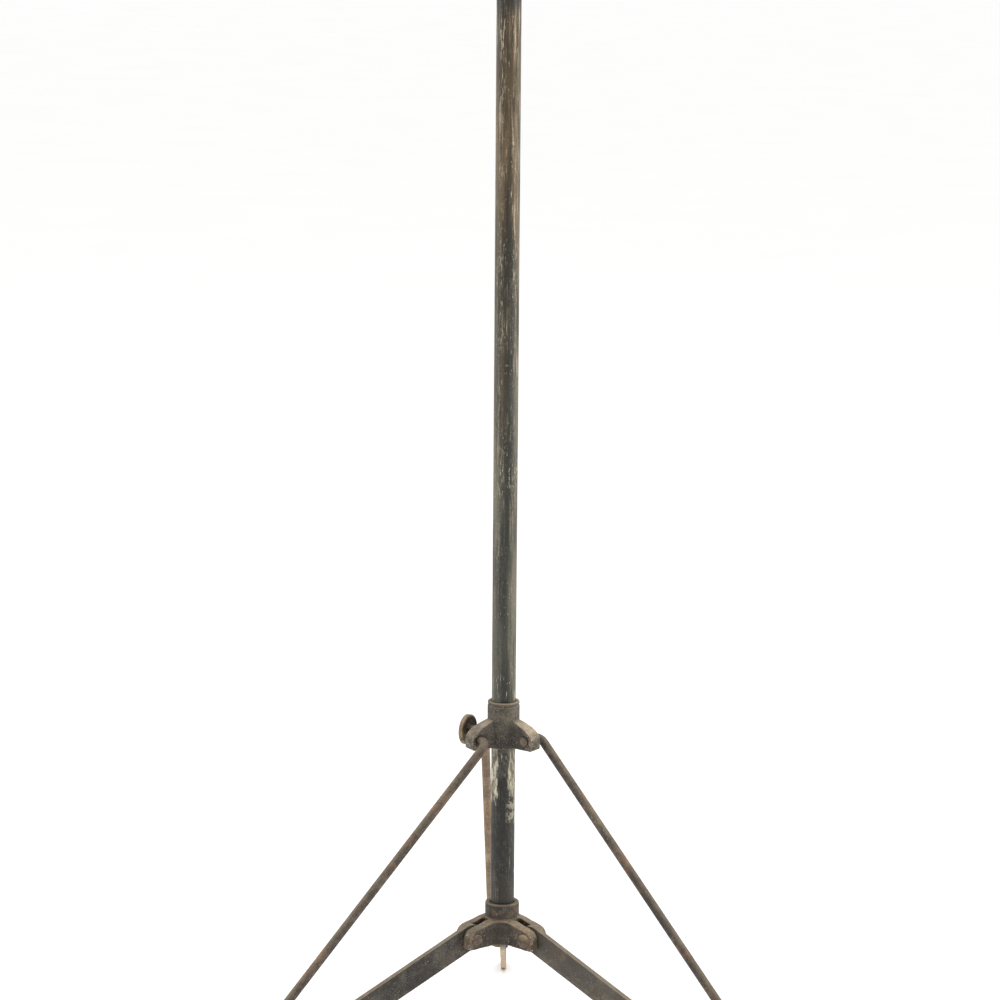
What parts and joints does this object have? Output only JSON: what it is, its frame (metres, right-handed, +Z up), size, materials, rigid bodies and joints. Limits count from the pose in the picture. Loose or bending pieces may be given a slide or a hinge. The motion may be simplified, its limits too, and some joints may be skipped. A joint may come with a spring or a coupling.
{
  "type": "tripod floor lamp",
  "caption": "Folding tripod floor lamp: flat-bar legs and round stays on a sliding cast runner, telescoping mast, and a yoke-mounted spun reflector head.",
  "frame": {"origin": "middle of the footprint on the floor", "axes": "+Z up the mast; one leg points to +Y, the other two towards -Y; the head looks towards -Y"},
  "size_m": [0.9574, 0.9114, 2.0105],
  "materials": {
    "cast": "rough cast, oiled and dusty",
    "black": "worn black paint",
    "rusty": "dull, spotted with rust",
    "bare": "aged bare steel",
    "brass": "aged",
    "spun": "worn dark paint",
    "bake": "dark brown phenolic",
    "porc": "glazed porcelain",
    "glass": "clear",
    "wire": "drawn wire"
  },
  "bodies": {
    "base": {"outer_tube": "black", "leg_hub": "cast", "hub_rivet_1": "rusty", "hub_rivet_2": "rusty", "hub_rivet_3": "rusty", "top_clamp": "cast"},
    "runner": {"runner": "cast"},
    "runner_screw": {"runner_thumbscrew": "cast"},
    "clamp_screw": {"clamp_thumbscrew": "cast"},
    "mast": {"inner_tube": "bare", "guide_bush": "brass", "mast_cap": "bare"},
    "swivel": {"swivel_socket": "cast", "yoke": "black", "yoke_bolt": "bare"},
    "swivel_screw": {"swivel_thumbscrew": "bare"},
    "head": {"reflector": "spun", "lamp_housing": "spun", "housing_screw_1": "brass", "housing_screw_2": "brass", "housing_screw_3": "brass", "rear_cap": "spun", "holder_nipple": "brass", "nipple_nut": "brass", "cord_bushing": "bake", "lamp_holder": "porc", "centre_contact": "brass", "bulb_cap": "brass", "bulb_glass": "glass", "bulb_filament": "wire", "switch_body": "bake", "tilt_bolt_left": "bare", "tilt_bolt_right": "bare", "tilt_spacer_left": "bare", "tilt_spacer_right": "bare"},
    "tilt_screw_left": {"tilt_knob_left": "cast"},
    "tilt_screw_right": {"tilt_knob_right": "cast"},
    "switch": {"switch_key": "bake"},
    "leg_rear": {"leg_1": "black", "stay_foot_pin_1": "rusty"},
    "stay_rear": {"stay_1": "rusty"},
    "leg_left": {"leg_2": "black", "stay_foot_pin_2": "rusty"},
    "stay_left": {"stay_2": "rusty"},
    "leg_right": {"leg_3": "black", "stay_foot_pin_3": "rusty"},
    "stay_right": {"stay_3": "rusty"}
  },
  "joints": [
    {"name": "runner_slide", "type": "slide", "parent": "base", "child": "runner", "axis": [0, 0, 1], "range_m": [0, 0.6602]},
    {"name": "leg_rear_fold", "type": "hinge", "parent": "base", "child": "leg_rear", "pos_m": [0.01384, -0.0772, 0.23983], "axis": [1, -0.0044, 0], "range_deg": [0, 109.01]},
    {"name": "stay_rear_swing", "type": "hinge", "parent": "runner", "child": "stay_rear", "pos_m": [0.01381, -0.0841, 0.45713], "axis": [1, -0.0044, 0], "range_deg": [-39.53, 0]},
    {"name": "leg_left_fold", "type": "hinge", "parent": "base", "child": "leg_left", "pos_m": [-0.02019, -0.13705, 0.23983], "axis": [-0.515, 0.8572, 0], "range_deg": [0, 109.01]},
    {"name": "stay_left_swing", "type": "hinge", "parent": "runner", "child": "stay_left", "pos_m": [-0.01428, -0.1335, 0.45713], "axis": [-0.515, 0.8572, 0], "range_deg": [-39.53, 0]},
    {"name": "leg_right_fold", "type": "hinge", "parent": "base", "child": "leg_right", "pos_m": [0.04562, -0.13992, 0.23983], "axis": [-0.5878, -0.809, 0], "range_deg": [0, 109.01]},
    {"name": "stay_right_swing", "type": "hinge", "parent": "runner", "child": "stay_right", "pos_m": [0.04004, -0.13587, 0.45713], "axis": [-0.5878, -0.809, 0], "range_deg": [-39.53, 0]},
    {"name": "runner_screw_turn", "type": "hinge", "parent": "runner", "child": "runner_screw", "pos_m": [-0.02132, -0.09731, 0.45713], "axis": [-0.8746, 0.4848, 0], "range_deg": [0, 360]},
    {"name": "mast_slide", "type": "slide", "parent": "base", "child": "mast", "axis": [0, 0, 1], "range_m": [-0.35, 0.3]},
    {"name": "clamp_screw_turn", "type": "hinge", "parent": "base", "child": "clamp_screw", "pos_m": [-0.02233, -0.11671, 1.27383], "axis": [-1, 0, 0], "range_deg": [0, 360]},
    {"name": "head_swivel", "type": "hinge", "parent": "mast", "child": "swivel", "pos_m": [0.01367, -0.11671, 1.654], "axis": [0, 0, 1], "range_deg": [-175, 175]},
    {"name": "swivel_screw_turn", "type": "hinge", "parent": "swivel", "child": "swivel_screw", "pos_m": [-0.01633, -0.11671, 1.668], "axis": [-1, 0, 0], "range_deg": [0, 360]},
    {"name": "head_tilt", "type": "hinge", "parent": "swivel", "child": "head", "pos_m": [0.01367, -0.11671, 1.8646], "axis": [1, 0, 0], "range_deg": [-60, 90]},
    {"name": "tilt_knob_left_turn", "type": "hinge", "parent": "head", "child": "tilt_screw_left", "pos_m": [-0.15633, -0.11671, 1.8646], "axis": [-1, 0, 0], "range_deg": [0, 360]},
    {"name": "tilt_knob_right_turn", "type": "hinge", "parent": "head", "child": "tilt_screw_right", "pos_m": [0.18367, -0.11671, 1.8646], "axis": [1, 0, 0], "range_deg": [0, 360]},
    {"name": "switch_turn", "type": "hinge", "parent": "head", "child": "switch", "pos_m": [0.01367, 0.08323, 1.95795], "axis": [0, 0.9511, 0.309], "range_deg": [0, 90]}
  ],
  "couplings": [
    {"joint": "leg_rear_fold", "follows": "runner_slide", "rad_per_m": 2.8816},
    {"joint": "stay_rear_swing", "follows": "runner_slide", "rad_per_m": -1.0449},
    {"joint": "leg_left_fold", "follows": "runner_slide", "rad_per_m": 2.8816},
    {"joint": "stay_left_swing", "follows": "runner_slide", "rad_per_m": -1.0449},
    {"joint": "leg_right_fold", "follows": "runner_slide", "rad_per_m": 2.8816},
    {"joint": "stay_right_swing", "follows": "runner_slide", "rad_per_m": -1.0449}
  ]
}
